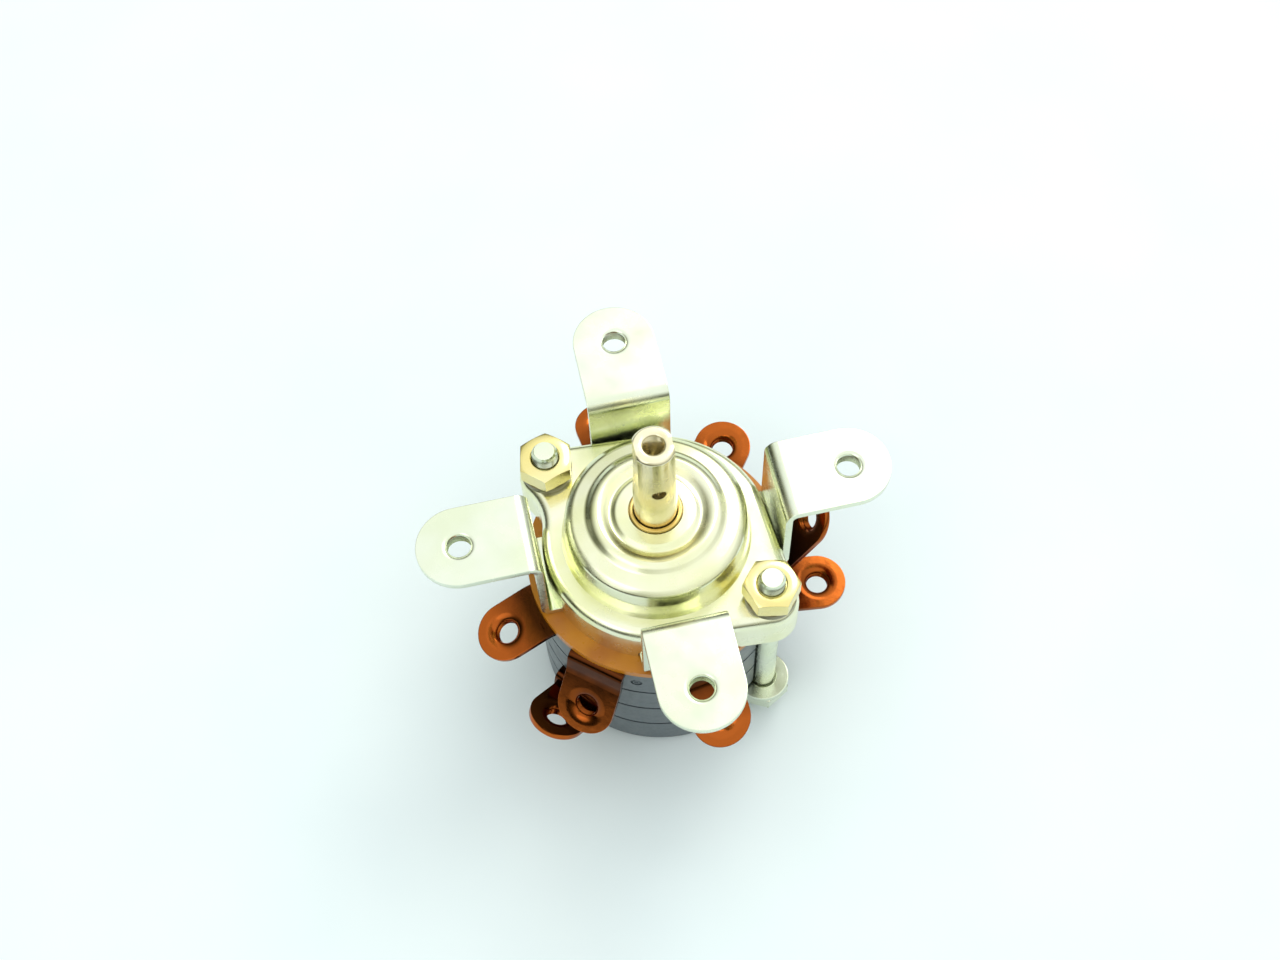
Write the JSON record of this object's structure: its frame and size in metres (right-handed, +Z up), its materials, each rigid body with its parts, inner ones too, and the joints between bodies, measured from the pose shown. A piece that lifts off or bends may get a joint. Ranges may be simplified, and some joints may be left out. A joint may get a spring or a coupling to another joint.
{
  "type": "rotary power switch",
  "caption": "Stacked-wafer rotary power switch: four bent mounting ears, domed detent cover, flatted shaft with cross hole, and copper screw tabs around the grey decks.",
  "frame": {"origin": "on the shaft's axis at the underside of the end strap, the lowest face", "axes": "+Z up the shaft towards the knob end; +X and +Y each run out through one of the four mounting ears"},
  "size_m": [0.0662, 0.0662, 0.0599],
  "materials": {
    "zinc_plate": "zinc plated with a pale yellow-green passivate, satin to bright",
    "yellow_zinc": "zinc plated, golden chromate, bright",
    "steel": "turned or stamped steel, bright",
    "spring_steel": "oiled spring steel",
    "copper": "bright pressed copper",
    "brass": "turned brass",
    "grey_phenolic": "moulded, slate grey, satin",
    "brown_phenolic": "punched resin-bonded sheet, orange brown, semi-gloss",
    "black_phenolic": "moulded, black"
  },
  "bodies": {
    "root": {"mounting_frame": "zinc_plate", "detent_cover": "zinc_plate", "shaft_bush": "brass", "index_ring": "steel", "insulating_plate": "brown_phenolic", "wafer_1": "grey_phenolic", "wafer_2": "grey_phenolic", "wafer_3": "grey_phenolic", "wafer_4": "grey_phenolic", "end_strap": "zinc_plate", "stud_bolt_left": "zinc_plate", "stud_bolt_right": "zinc_plate", "hex_nut_left": "yellow_zinc", "hex_nut_right": "yellow_zinc", "spring_washer_left": "spring_steel", "spring_washer_right": "spring_steel", "terminal_1": "copper", "terminal_2": "copper", "terminal_3": "copper", "terminal_4": "copper", "terminal_5": "copper", "terminal_6": "copper", "terminal_7": "copper", "terminal_8": "copper"},
    "rotor": {"shaft": "steel", "retaining_clip": "spring_steel", "ball_carrier": "black_phenolic", "detent_spring_a": "spring_steel", "detent_spring_b": "spring_steel", "drive_dog": "steel", "snap_spring": "spring_steel", "rotor_hub_1": "black_phenolic", "moving_contact_1": "copper", "contact_spring_1": "spring_steel", "rotor_hub_2": "black_phenolic", "moving_contact_2": "copper", "contact_spring_2": "spring_steel", "rotor_hub_3": "black_phenolic", "moving_contact_3": "copper", "contact_spring_3": "spring_steel"},
    "detent_ball_a": {"detent_ball_a": "steel"},
    "detent_ball_b": {"detent_ball_b": "steel"}
  },
  "joints": [
    {"name": "shaft_turn", "type": "hinge", "parent": "root", "child": "rotor", "pos_m": [0, 0, 0], "axis": [0, 0, 1], "continuous": true},
    {"name": "detent_ball_a_travel", "type": "slide", "parent": "rotor", "child": "detent_ball_a", "axis": [1, 0, 0], "range_m": [0, 0.0008], "stiffness_N_per_m": 200},
    {"name": "detent_ball_b_travel", "type": "slide", "parent": "rotor", "child": "detent_ball_b", "axis": [-1, 0, 0], "range_m": [0, 0.0008], "stiffness_N_per_m": 200}
  ]
}
